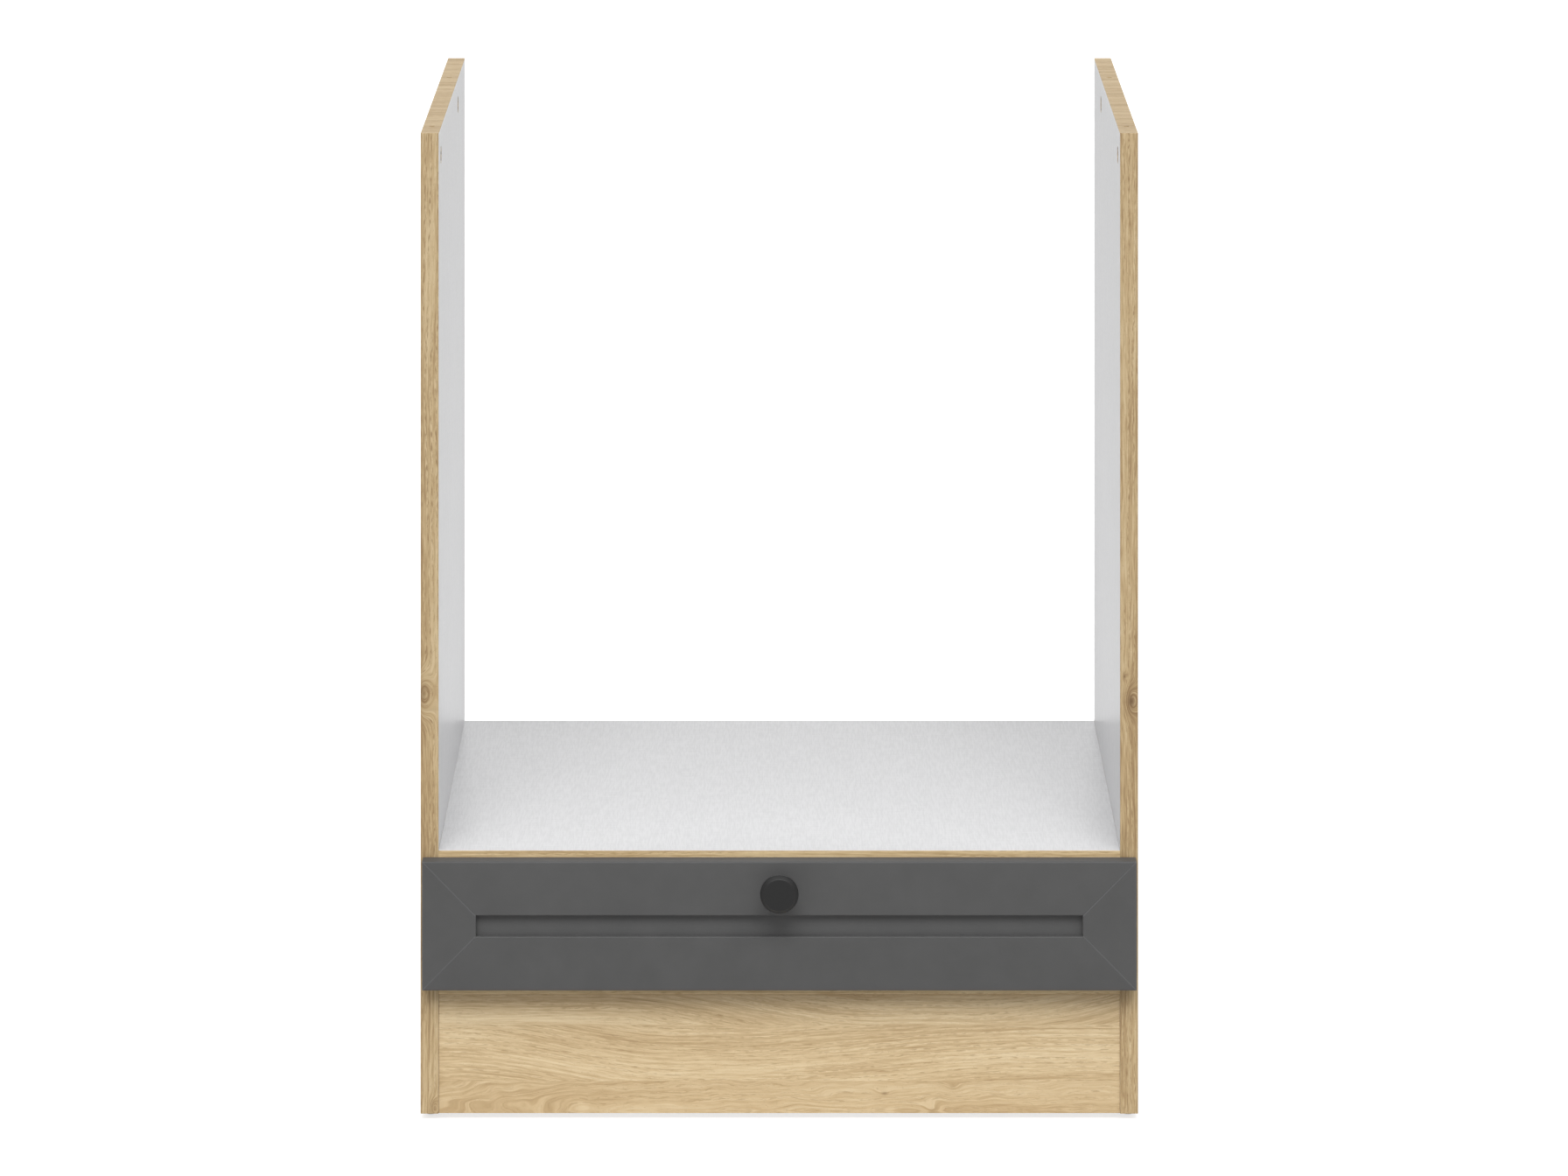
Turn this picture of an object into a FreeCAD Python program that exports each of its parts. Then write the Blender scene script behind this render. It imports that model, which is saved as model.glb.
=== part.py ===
import FreeCAD, Part
import math
import os

# Base unit for a built-in oven: two oak-effect sides, an oven shelf, and one shallow drawer on
# roller runners between the shelf and the bottom panel, above a plinth. Millimetres, +Z up.
# The origin is at the middle of the overall box, on the floor. The front faces -Y, the left side
# is at -X. Left-hand pieces are modelled, and right-hand pieces are their mirror images in X = 0.

# Carcass boards
unit_width = 600.0
side_depth = 550.0
board = 15.0
edge_band = 0.8
plinth_height = 100.0
drawer_space_height = 90.0
niche_height = 600.0
plinth_setback = 2.0
back_thickness = 3.0
back_reveal = 2.0

# Glued joints: loose tongues let into the boards, and blocks in the corner behind the plinth
tongue_thickness = 4.0
tongue_in_side = 7.0
tongue_in_board = 11.0
tongue_stop = 25.0
tongue_play = 0.1
block_size = 20.0
block_length = 60.0
block_x = 170.0

# Glides under the sides
glide_height = 5.0
glide_radius = 7.0
glide_setback = 23.0

# Worktop fittings in the top of the sides
cam_radius = 7.5
cam_floor = 3.0
cam_distance = 24.0
cam_slot_length = 10.0
cam_slot_width = 1.4
cam_slot_depth = 2.0
cam_slot_angle = 45.0
cam_mouth = 6.0
worktop_bolt_radius = 2.5
worktop_cam_offsets = (48.0, 400.0)

# Drawer front: a mitred frame with a loose centre panel
front_thickness = 18.0
front_gap = 2.0
front_side_reveal = 2.0
front_top_reveal = 5.0
front_bottom_reveal = 7.5
rail_width = 45.0
stile_width = 45.0
panel_recess = 7.0
panel_thickness = 6.0
panel_tongue = 8.0
front_edge_radius = 1.2
front_inner_chamfer = 0.6
mitre_tongue_length = 28.0
mitre_tongue_width = 16.0
mitre_tongue_thickness = 3.0
bumper_side = 8.0
bumper_inset = 12.0

# Knob
knob_radius = 16.0
knob_face_radius = 12.9
knob_projection = 25.0
knob_rim = 6.0
knob_neck_radius = 7.0
knob_screw_radius = 2.0
knob_screw_grip = 9.0
knob_screw_head_radius = 4.0
knob_screw_head_height = 2.2

# Countersunk screws that hold steel to board, and the play of a screw in its hole
euro_screw_radius = 3.0
euro_screw_length = 10.0
hole_play = 0.05

# Roller runners
runner_space = 12.5
runner_sheet = 1.2
runner_flange = 10.6
runner_front_setback = 2.0
runner_floor_gap = 4.0
drawer_rear_space = 50.0
travel_loss = 130.0
bend_radius = 1.0
roller_radius = 10.0
roller_width = 7.0
roller_gap = 0.25
roller_head_room = 0.8
roller_setback = 14.0
roller_bore_play = 0.05
roller_side_gap = 0.1
pin_radius = 2.5
pin_end = 0.4
track_gap = 0.6
track_leg = 8.2
stop_gap = 0.6
stop_height = 5.0
front_notch_gap = 1.8
overcut = 1.0
runner_screw_offsets = (37.0, 453.0)
runner_slot_offsets = (101.0, 229.0, 357.0)
runner_slot_length = 12.0
runner_slot_height = 5.0

# Steel drawer sides and the boards between them
drawer_side_height = 54.0
drawer_floor_gap = 6.0
hem_width = 6.0
hem_drop = 6.0
bottom_flange = 16.0
drawer_board = 16.0
drawer_board_play = 0.2
end_flange = 16.0
front_screw_inset = 6.5
front_screw_shares = (0.25, 0.75)

# Positions that follow from the sizes above
half_width = unit_width / 2
inner_x = half_width - board
side_height = plinth_height + board + drawer_space_height + board + niche_height
overall_depth = knob_projection + front_thickness + front_gap + side_depth + back_thickness
knob_tip_y = -overall_depth / 2
front_face_y = knob_tip_y + knob_projection
front_back_y = front_face_y + front_thickness
carcass_front_y = front_back_y + front_gap
carcass_rear_y = carcass_front_y + side_depth
side_bottom_z = glide_height
side_top_z = side_bottom_z + side_height
shelf_top_z = side_top_z - niche_height
shelf_bottom_z = shelf_top_z - board
base_bottom_z = side_bottom_z + plinth_height
base_top_z = base_bottom_z + board
plinth_front_y = carcass_front_y + plinth_setback
plinth_rear_y = plinth_front_y + board
cam_height = board - cam_floor
worktop_cam_z = side_top_z - cam_distance
worktop_cam_ys = [carcass_front_y + offset for offset in worktop_cam_offsets]

front_half_width = half_width - front_side_reveal
front_top_z = shelf_top_z - front_top_reveal
front_bottom_z = base_bottom_z + front_bottom_reveal
front_height = front_top_z - front_bottom_z
knob_z = front_top_z - rail_width / 2

runner_length = side_depth - drawer_rear_space
drawer_travel = runner_length - travel_loss
runner_bottom_z = base_top_z + runner_floor_gap
rear_roller_z = runner_bottom_z + runner_sheet + roller_gap + roller_radius
runner_top_z = rear_roller_z + roller_radius + roller_head_room + runner_sheet
track_bottom_z = runner_top_z + track_gap
front_roller_z = track_bottom_z - roller_gap - roller_radius
runner_mid_z = (runner_bottom_z + runner_top_z) / 2
front_roller_y = carcass_front_y + roller_setback
drawer_rear_y = front_back_y + runner_length
rear_roller_y = drawer_rear_y - roller_setback
front_roller_s = runner_sheet + roller_side_gap
web_s = runner_space - runner_sheet
rear_roller_s = web_s - roller_side_gap - roller_width
drawer_bottom_z = base_top_z + drawer_floor_gap
drawer_top_z = drawer_bottom_z + drawer_side_height
floor_board_z = drawer_bottom_z + runner_sheet
floor_top_z = floor_board_z + drawer_board
flange_top_z = drawer_top_z - hem_drop
front_screw_x = -inner_x + runner_space + front_screw_inset
front_screw_zs = [floor_top_z + (flange_top_z - floor_top_z) * share
                  for share in front_screw_shares]

X = FreeCAD.Vector(1, 0, 0)
Y = FreeCAD.Vector(0, 1, 0)
Z = FreeCAD.Vector(0, 0, 1)


def at(x, y, z):
    return FreeCAD.Vector(x, y, z)


def inward(s):
    """X of a point that is s inward from the left side's inner face."""
    return -inner_x + s


def box(x0, x1, y0, y1, z0, z1):
    return Part.makeBox(x1 - x0, y1 - y0, z1 - z0, at(x0, y0, z0))


def rod(radius, start, direction, length):
    return Part.makeCylinder(radius, length, start, direction)


def placed(shape, origin, x_axis, y_axis):
    """Move a shape drawn at the origin to a frame given by its origin and two of its axes."""
    z_axis = x_axis.cross(y_axis)
    columns = [x_axis, y_axis, z_axis, origin]
    rows = [[getattr(column, name) for column in columns] for name in ("x", "y", "z")]
    matrix = FreeCAD.Matrix(*rows[0], *rows[1], *rows[2], 0, 0, 0, 1)
    shape.Placement = FreeCAD.Placement(matrix)
    return shape


def mirrored(shape):
    return shape.mirror(at(0, 0, 0), X)


def both_sides(shapes):
    return shapes + [mirrored(shape) for shape in shapes]


def outline(points):
    """Closed face from (u, v) corners. A pair of points inside the list is an arc's middle and end."""
    edges = []
    here = at(*points[0], 0)
    for step in list(points[1:]) + [points[0]]:
        if isinstance(step[0], tuple):
            middle = at(*step[0], 0)
            end = at(*step[1], 0)
            edges.append(Part.Arc(here, middle, end).toShape())
        else:
            end = at(*step, 0)
            edges.append(Part.LineSegment(here, end).toShape())
        here = end
    return Part.Face(Part.Wire(edges))


def turned(points, origin, direction):
    """Solid of revolution. Points are (distance along the axis, radius) from origin."""
    solid = outline(points).revolve(at(0, 0, 0), X, 360)
    solid.Placement = FreeCAD.Placement(origin, FreeCAD.Rotation(X, direction))
    return solid


def offset_run(points, offset, bend):
    """One face of a bent sheet: the mid-line moved sideways, with an arc at each inner corner."""
    def normal(direction):
        return at(-direction.y, direction.x, 0)

    headings = [(points[i + 1] - points[i]).normalize() for i in range(len(points) - 1)]
    edges = []
    here = points[0] + normal(headings[0]) * offset
    for i in range(1, len(points) - 1):
        before = headings[i - 1]
        after = headings[i]
        turn = math.copysign(1, before.cross(after).z)
        setback = bend * math.tan(before.getAngle(after) / 2)
        arc_start = points[i] - before * setback
        arc_end = points[i] + after * setback
        centre = arc_start + normal(before) * bend * turn
        outward = (points[i] - centre).normalize()
        first = arc_start + normal(before) * offset
        middle = centre + outward * (bend - turn * offset)
        last = arc_end + normal(after) * offset
        edges.append(Part.LineSegment(here, first).toShape())
        edges.append(Part.Arc(first, middle, last).toShape())
        here = last
    finish = points[-1] + normal(headings[-1]) * offset
    edges.append(Part.LineSegment(here, finish).toShape())
    return edges


def bent_sheet(path, thickness, length):
    """Sheet metal whose section follows a mid-line path, extruded along its own Z."""
    points = [at(u, v, 0) for u, v in path]
    bend = bend_radius + thickness / 2
    left = offset_run(points, thickness / 2, bend)
    right = offset_run(points, -thickness / 2, bend)
    caps = []
    for index in (0, -1):
        ends = [edges[index].Vertexes[index].Point for edges in (left, right)]
        caps.append(Part.LineSegment(*ends).toShape())
    wire = Part.Wire(Part.__sortEdges__(left + right + caps))
    return Part.Face(wire).extrude(Z * length)


def bored(solid, holes):
    """Cut round holes, each given as (start, direction, radius, depth)."""
    for start, direction, radius, depth in holes:
        solid = solid.cut(rod(radius, start, direction, depth))
    return solid


# Glued joints -------------------------------------------------------------------------------


def board_tongue(board_bottom_z, play=0.0):
    """Loose tongue between the left side and the end of a horizontal board, short of its edges."""
    middle = board_bottom_z + board / 2
    half = tongue_thickness / 2 + play
    return box(-inner_x - tongue_in_side - play, inward(tongue_in_board) + play,
               carcass_front_y + tongue_stop - play, carcass_rear_y - tongue_stop + play,
               middle - half, middle + half)


def plinth_tongue(play=0.0):
    """Upright loose tongue between the left side and the end of the plinth."""
    middle = (plinth_front_y + plinth_rear_y) / 2
    half = tongue_thickness / 2 + play
    return box(-inner_x - tongue_in_side - play, inward(tongue_in_board) + play,
               middle - half, middle + half,
               side_bottom_z + tongue_stop - play, base_bottom_z - tongue_stop + play)


def plinth_block(centre_x):
    half = block_length / 2
    return box(centre_x - half, centre_x + half, plinth_rear_y, plinth_rear_y + block_size,
               base_bottom_z - block_size, base_bottom_z)


# Carcass boards -----------------------------------------------------------------------------


def worktop_bores():
    """Bolt bores from the top edge down to the worktop cams."""
    return [(at(-half_width + board / 2, y, side_top_z), -Z, worktop_bolt_radius, cam_distance)
            for y in worktop_cam_ys]


def side_panel():
    panel = box(-half_width, -inner_x, carcass_front_y + edge_band, carcass_rear_y,
                side_bottom_z, side_top_z - edge_band)
    for z in (shelf_bottom_z, base_bottom_z):
        panel = panel.cut(board_tongue(z, tongue_play))
    panel = panel.cut(plinth_tongue(tongue_play))
    holes = worktop_bores()
    for y in worktop_cam_ys:
        holes.append((at(-inner_x, y, worktop_cam_z), -X, cam_radius, cam_height))
    for offset in runner_screw_offsets:
        start = at(-inner_x, carcass_front_y + offset, runner_mid_z)
        holes.append((start, -X, euro_screw_radius + hole_play, euro_screw_length))
    return bored(panel, holes)


def front_edge_band():
    return box(-half_width, -inner_x, carcass_front_y, carcass_front_y + edge_band,
               side_bottom_z, side_top_z)


def top_edge_band():
    band = box(-half_width, -inner_x, carcass_front_y + edge_band, carcass_rear_y,
               side_top_z - edge_band, side_top_z)
    return bored(band, worktop_bores())


def horizontal_board(bottom_z):
    panel = box(-inner_x, inner_x, carcass_front_y + edge_band, carcass_rear_y,
                bottom_z, bottom_z + board)
    groove = board_tongue(bottom_z, tongue_play)
    return panel.cut(groove).cut(mirrored(groove))


def board_edge_band(bottom_z):
    return box(-inner_x, inner_x, carcass_front_y, carcass_front_y + edge_band,
               bottom_z, bottom_z + board)


def plinth_board():
    panel = box(-inner_x, inner_x, plinth_front_y, plinth_rear_y, side_bottom_z, base_bottom_z)
    groove = plinth_tongue(tongue_play)
    return panel.cut(groove).cut(mirrored(groove))


def back_panel():
    wide = half_width - back_reveal
    return box(-wide, wide, carcass_rear_y, carcass_rear_y + back_thickness,
               base_bottom_z + back_reveal, shelf_top_z - back_reveal)


# Glides and worktop cams --------------------------------------------------------------------


def glide_places():
    ys = (carcass_front_y + glide_setback, carcass_rear_y - glide_setback)
    return [(-half_width + board / 2, y) for y in ys]


def glide(x, y):
    """Plastic glide under a side."""
    return rod(glide_radius, at(x, y, side_bottom_z), -Z, glide_height)


def worktop_cam(y):
    """Round cam let into the side's inner face, with a slot to turn it by and a mouth in its rim
    where the bolt's head comes in from above."""
    body = Part.makeCylinder(cam_radius - hole_play, cam_height)
    long = cam_slot_length / 2
    wide = cam_slot_width / 2
    slot = box(-long, long, -wide, wide, 0, cam_slot_depth)
    slot.rotate(at(0, 0, 0), Z, cam_slot_angle)
    half = cam_mouth / 2
    mouth = box(0, cam_radius, -half, half, board / 2 - half, board / 2 + half)
    return placed(body.cut(slot).cut(mouth), at(-inner_x, y, worktop_cam_z), Z, Y)


# Roller runners -----------------------------------------------------------------------------


def runner_profile():
    """Channel screwed to the side: the rear roller runs between its two flanges."""
    half = runner_sheet / 2
    low = runner_bottom_z + half
    high = runner_top_z - half
    rear_y = carcass_front_y + runner_front_setback + runner_length
    path = [(runner_flange, low), (half, low), (half, high), (runner_flange, high)]
    channel = bent_sheet(path, runner_sheet, runner_length)
    channel = placed(channel, at(-inner_x, rear_y, 0), X, Z)
    beyond = inward(runner_flange + overcut)
    notch_y = front_roller_y + roller_radius + front_notch_gap
    channel = channel.cut(box(inward(runner_sheet), beyond, carcass_front_y - overcut, notch_y,
                              high - runner_sheet, runner_top_z + overcut))
    for stop in (front_stop(), rear_stop()):
        channel = channel.cut(stop["window"])
        channel = channel.fuse(stop["tab"])
    holes = []
    for offset in runner_screw_offsets:
        start = at(-inner_x, carcass_front_y + offset, runner_mid_z)
        holes.append((start, X, euro_screw_radius + hole_play, runner_sheet))
    channel = bored(channel, holes)
    for offset in runner_slot_offsets:
        channel = channel.cut(runner_slot(carcass_front_y + offset))
    return channel.removeSplitter()


def runner_slot(y):
    """Spare fixing slot, longer along the runner."""
    long = runner_slot_length / 2
    high = runner_slot_height / 2
    return box(-inner_x, inward(runner_sheet), y - long, y + long,
               runner_mid_z - high, runner_mid_z + high)


def front_stop():
    """Tab lanced from the upper flange and bent down, just ahead of the open drawer's roller."""
    tab_rear = rear_roller_y - drawer_travel - roller_radius - stop_gap
    tab_front = tab_rear - runner_sheet
    low = runner_top_z - runner_sheet - stop_height
    near = inward(rear_roller_s)
    far = inward(runner_flange)
    tab = box(near, far, tab_front, tab_rear, low, runner_top_z)
    window = box(near, far + overcut, tab_rear, tab_rear + stop_height,
                 runner_top_z - runner_sheet, runner_top_z)
    return {"tab": tab, "window": window}


def rear_stop():
    """Tab bent up from the lower flange, just behind the closed drawer's roller."""
    tab_front = rear_roller_y + roller_radius + stop_gap
    tab_rear = tab_front + runner_sheet
    near = inward(rear_roller_s)
    far = inward(runner_flange)
    top = runner_bottom_z + runner_sheet
    tab = box(near, far, tab_front, tab_rear, runner_bottom_z, top + stop_height)
    window = box(near, far + overcut, tab_front - stop_height, tab_front, runner_bottom_z, top)
    return {"tab": tab, "window": window}


def runner_screws():
    """Screws flush with the runner, so that the roller can pass over them."""
    seats = [at(inward(runner_sheet), carcass_front_y + offset, runner_mid_z)
             for offset in runner_screw_offsets]
    return [rod(euro_screw_radius, seat, -X, runner_sheet + euro_screw_length) for seat in seats]


def roller(near_s, y, z):
    """Nylon roller that turns on a pin."""
    bore = pin_radius + roller_bore_play
    points = [(0, bore), (0, roller_radius), (roller_width, roller_radius), (roller_width, bore)]
    return turned(points, at(inward(near_s), y, z), X)


def roller_pin(web_face_s, direction, y, z):
    """Axle welded to the sheet, just longer than the roller is wide."""
    length = 2 * roller_side_gap + roller_width + pin_end
    return rod(pin_radius, at(inward(web_face_s), y, z), direction, length)


def front_roller_pin():
    return roller_pin(runner_sheet, X, front_roller_y, front_roller_z)


def rear_roller_pin():
    return roller_pin(web_s, -X, rear_roller_y, rear_roller_z)


# Drawer box ---------------------------------------------------------------------------------


def end_tab(edge_y, into):
    """Strip of the drawer side's web bent inward at one end. into is +1 where the drawer lies
    towards +Y of that end. Gives the bent strip and the square corner that it takes the place of."""
    half = runner_sheet / 2
    web = runner_space - half
    path = [(web, into * end_flange), (web, into * half), (runner_space + end_flange, into * half)]
    tab = bent_sheet(path, runner_sheet, flange_top_z - floor_top_z)
    tab = placed(tab, at(-inner_x, edge_y, floor_top_z), X, Y)
    ends = sorted([edge_y, edge_y + into * (runner_sheet + bend_radius)])
    corner = box(inward(web_s), inward(runner_space), ends[0], ends[1], floor_top_z, flange_top_z)
    return tab, corner


def drawer_side():
    """Steel side: hemmed top, web, a flange turned in under the floor board, and a tab turned in
    at each end for the front and for the back board."""
    half = runner_sheet / 2
    web = runner_space - half
    hem = web - hem_width
    path = [(hem, drawer_top_z - hem_drop), (hem, drawer_top_z - half), (web, drawer_top_z - half),
            (web, drawer_bottom_z + half), (runner_space + bottom_flange, drawer_bottom_z + half)]
    wall = bent_sheet(path, runner_sheet, runner_length)
    wall = placed(wall, at(-inner_x, drawer_rear_y, 0), X, Z)
    for tab, corner in (end_tab(front_back_y, 1), end_tab(drawer_rear_y, -1)):
        wall = wall.cut(corner).fuse(tab)
    holes = [(at(front_screw_x, front_back_y, z), Y, euro_screw_radius + hole_play, runner_sheet)
             for z in front_screw_zs]
    return bored(wall, holes).removeSplitter()


def drawer_track():
    """Angle spot-welded to the drawer side, which rides on the front roller."""
    half = runner_sheet / 2
    level = track_bottom_z + half
    leg = web_s - half
    path = [(leg, track_bottom_z + track_leg), (leg, level), (front_roller_s, level)]
    angle = bent_sheet(path, runner_sheet, runner_length)
    return placed(angle, at(-inner_x, drawer_rear_y, 0), X, Z)


def drawer_half_width():
    """Half the width of the boards between the drawer sides, clear of the sides' inner bends."""
    return inner_x - runner_space - bend_radius - drawer_board_play


def drawer_floor():
    """Floor board that lies on the flanges of both drawer sides."""
    wide = drawer_half_width()
    return box(-wide, wide, front_back_y, drawer_rear_y - runner_sheet, floor_board_z, floor_top_z)


def drawer_back():
    wide = drawer_half_width()
    rear = drawer_rear_y - runner_sheet
    return box(-wide, wide, rear - drawer_board, rear, floor_top_z, drawer_top_z)


def drawer_front_screws():
    seats = [at(front_screw_x, front_back_y + runner_sheet, z) for z in front_screw_zs]
    return [rod(euro_screw_radius, seat, -Y, runner_sheet + euro_screw_length) for seat in seats]


# Drawer front -------------------------------------------------------------------------------


def frame_member(length, width, mitre):
    """Grooved and rounded bar, mitred at both ends. Its outer edge is on local z = 0."""
    deep = front_thickness
    round_ = front_edge_radius
    soft = front_inner_chamfer
    groove = panel_recess + panel_thickness
    floor = width - panel_tongue
    bend = round_ * (1 - math.sqrt(0.5))
    points = [
        (0, round_), ((bend, bend), (round_, 0)), (deep, 0), (deep, width), (groove, width),
        (groove, floor), (panel_recess, floor), (panel_recess, width), (soft, width),
        (0, width - soft),
    ]
    bar = outline(points).extrude(Z * length)
    bar = placed(bar, at(0, 0, 0), Y, Z)
    corners = [at(0, 0, 0), at(length, 0, 0), at(length - mitre, 0, width), at(mitre, 0, width)]
    ends = Part.Face(Part.makePolygon(corners + corners[:1])).extrude(Y * deep)
    return bar.common(ends)


def mitre_tongue(sign_x, sign_z, play=0.0):
    """Loose tongue across one mitre, at half depth and clear of the panel's groove."""
    corner_z = front_top_z if sign_z > 0 else front_bottom_z
    middle = at(sign_x * (front_half_width - stile_width / 2),
                front_face_y + front_thickness / 2, corner_z - sign_z * rail_width / 2)
    across = at(sign_x * rail_width, 0, -sign_z * stile_width).normalize()
    wide = mitre_tongue_width / 2 + play
    thick = mitre_tongue_thickness / 2 + play
    long = mitre_tongue_length / 2 + play
    return placed(box(-wide, wide, -thick, thick, -long, long), middle, across, Y)


def mitre_signs():
    return [(sign_x, sign_z) for sign_x in (-1, 1) for sign_z in (-1, 1)]


def front_mitre_tongues():
    return [mitre_tongue(*signs) for signs in mitre_signs()]


def grooved_for_tongues(bar):
    for signs in mitre_signs():
        bar = bar.cut(mitre_tongue(*signs, tongue_play))
    return bar


def front_rail(top):
    bar = frame_member(2 * front_half_width, rail_width, stile_width)
    if not top:
        bar = placed(bar, at(-front_half_width, front_face_y, front_bottom_z), X, Y)
        return grooved_for_tongues(bar)
    bar = placed(bar, at(front_half_width, front_face_y, front_top_z), -X, Y)
    hole = (at(0, front_face_y, knob_z), Y, knob_screw_radius + hole_play, front_thickness)
    return bored(grooved_for_tongues(bar), [hole])


def front_stile():
    bar = frame_member(front_height, stile_width, rail_width)
    bar = placed(bar, at(-front_half_width, front_face_y, front_top_z), -Z, Y)
    radius = euro_screw_radius + hole_play
    holes = [(at(front_screw_x, front_back_y, z), -Y, radius, euro_screw_length)
             for z in front_screw_zs]
    return bored(grooved_for_tongues(bar), holes)


def front_centre_panel():
    wide = front_half_width - stile_width + panel_tongue
    near = front_face_y + panel_recess
    low = front_bottom_z + rail_width - panel_tongue
    high = front_top_z - rail_width + panel_tongue
    return box(-wide, wide, near, near + panel_thickness, low, high)


def front_bumpers():
    """Soft pads on the back of the front, which meet the carcass edges when it is shut."""
    half = bumper_side / 2
    x = half_width - board / 2
    heights = (front_bottom_z + bumper_inset, front_top_z - bumper_inset)
    return [box(-x - half, -x + half, front_back_y, front_back_y + front_gap, z - half, z + half)
            for z in heights]


def knob():
    """Mushroom knob: a round neck and a broad flat head with a bevelled rim."""
    tip = knob_projection
    under = tip - knob_rim
    bevel = tip - (knob_radius - knob_face_radius)
    points = [(0, 0), (0, knob_neck_radius), (under, knob_neck_radius), (under, knob_radius),
              (bevel, knob_radius), (tip, knob_face_radius), (tip, 0)]
    head = turned(points, at(0, front_face_y, knob_z), -Y)
    hole = (at(0, front_face_y, knob_z), -Y, knob_screw_radius + hole_play, knob_screw_grip)
    return bored(head, [hole])


def knob_screw():
    """Machine screw from behind the front into the knob."""
    head = knob_screw_head_height
    length = front_thickness + knob_screw_grip
    points = [(-head, 0), (-head, knob_screw_head_radius), (0, knob_screw_head_radius),
              (0, knob_screw_radius), (length, knob_screw_radius), (length, 0)]
    return turned(points, at(0, front_back_y, knob_z), -Y)


# Assembly -----------------------------------------------------------------------------------


def pairs():
    """Left-hand single pieces that have a mirrored right-hand twin."""
    return {
        "side_panel": side_panel(),
        "front_edge_band": front_edge_band(),
        "top_edge_band": top_edge_band(),
        "runner_profile": runner_profile(),
        "drawer_side": drawer_side(),
        "drawer_track": drawer_track(),
        "front_stile": front_stile(),
        "front_roller": roller(front_roller_s, front_roller_y, front_roller_z),
        "rear_roller": roller(rear_roller_s, rear_roller_y, rear_roller_z),
    }


def mirrored_groups():
    """Identical small pieces, listed for the left and repeated on the right."""
    return {
        "board_tongues": [board_tongue(z) for z in (shelf_bottom_z, base_bottom_z)],
        "plinth_tongues": [plinth_tongue()],
        "worktop_cams": [worktop_cam(y) for y in worktop_cam_ys],
        "glides": [glide(x, y) for x, y in glide_places()],
        "runner_screws": runner_screws(),
        "front_roller_pins": [front_roller_pin()],
        "rear_roller_pins": [rear_roller_pin()],
        "drawer_front_screws": drawer_front_screws(),
        "front_bumpers": front_bumpers(),
        "plinth_blocks": [plinth_block(-block_x)],
    }


def single_pieces():
    return {
        "oven_shelf": [horizontal_board(shelf_bottom_z)],
        "shelf_edge_band": [board_edge_band(shelf_bottom_z)],
        "bottom_panel": [horizontal_board(base_bottom_z)],
        "bottom_edge_band": [board_edge_band(base_bottom_z)],
        "plinth_board": [plinth_board()],
        "back_panel": [back_panel()],
        "drawer_floor": [drawer_floor()],
        "drawer_back": [drawer_back()],
        "front_top_rail": [front_rail(True)],
        "front_bottom_rail": [front_rail(False)],
        "front_centre_panel": [front_centre_panel()],
        "front_mitre_tongues": front_mitre_tongues(),
        "knob": [knob()],
        "knob_screw": [knob_screw()],
    }


def all_nodes():
    nodes = single_pieces()
    for name, left in pairs().items():
        nodes[name + "_left"] = [left]
        nodes[name + "_right"] = [mirrored(left)]
    for name, lefts in mirrored_groups().items():
        nodes[name] = both_sides(lefts)
    return nodes


def export(nodes):
    os.makedirs("parts", exist_ok=True)
    for name, shapes in sorted(nodes.items()):
        solids = [solid for shape in shapes for solid in shape.Solids]
        shape = solids[0] if len(solids) == 1 else Part.makeCompound(solids)
        shape.exportStep("parts/" + name + ".step")


export(all_nodes())
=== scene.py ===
import math

import bmesh
import bpy
from mathutils import Matrix, Vector


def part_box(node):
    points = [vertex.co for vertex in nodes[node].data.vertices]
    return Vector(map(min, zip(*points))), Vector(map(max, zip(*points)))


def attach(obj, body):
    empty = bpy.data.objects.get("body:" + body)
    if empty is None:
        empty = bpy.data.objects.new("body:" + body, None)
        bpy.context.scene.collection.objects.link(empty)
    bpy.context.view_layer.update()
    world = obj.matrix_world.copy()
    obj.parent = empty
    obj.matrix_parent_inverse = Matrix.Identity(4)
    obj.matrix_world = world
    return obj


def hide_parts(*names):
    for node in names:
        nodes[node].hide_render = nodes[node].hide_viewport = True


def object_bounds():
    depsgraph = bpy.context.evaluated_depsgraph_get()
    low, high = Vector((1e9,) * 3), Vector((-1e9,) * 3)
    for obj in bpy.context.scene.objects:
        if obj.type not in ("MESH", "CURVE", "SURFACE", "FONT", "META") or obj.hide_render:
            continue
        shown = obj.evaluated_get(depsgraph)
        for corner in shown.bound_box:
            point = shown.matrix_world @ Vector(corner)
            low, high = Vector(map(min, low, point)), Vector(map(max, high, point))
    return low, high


# Base unit for a built-in oven. Metres, +Z up, the front faces -Y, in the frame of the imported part.

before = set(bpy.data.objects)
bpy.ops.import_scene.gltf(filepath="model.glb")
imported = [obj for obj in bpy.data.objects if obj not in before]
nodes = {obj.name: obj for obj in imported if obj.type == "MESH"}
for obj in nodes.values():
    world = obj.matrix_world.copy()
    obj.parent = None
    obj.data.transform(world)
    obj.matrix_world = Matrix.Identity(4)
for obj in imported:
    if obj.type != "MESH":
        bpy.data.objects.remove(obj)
cad_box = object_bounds()

MM = 0.001
WELD = 0.001 * MM
X = Vector((1, 0, 0))
Y = Vector((0, 1, 0))
Z = Vector((0, 0, 1))

side_low, side_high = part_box("side_panel_left")
shelf_low, shelf_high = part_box("oven_shelf")
plinth_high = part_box("plinth_board")[1]
top_rail_low, top_rail_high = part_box("front_top_rail")
panel_low, panel_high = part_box("front_centre_panel")
floor_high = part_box("drawer_floor")[1]
board = shelf_high.z - shelf_low.z
half_width = -side_low.x
inner_x = -side_high.x


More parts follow.
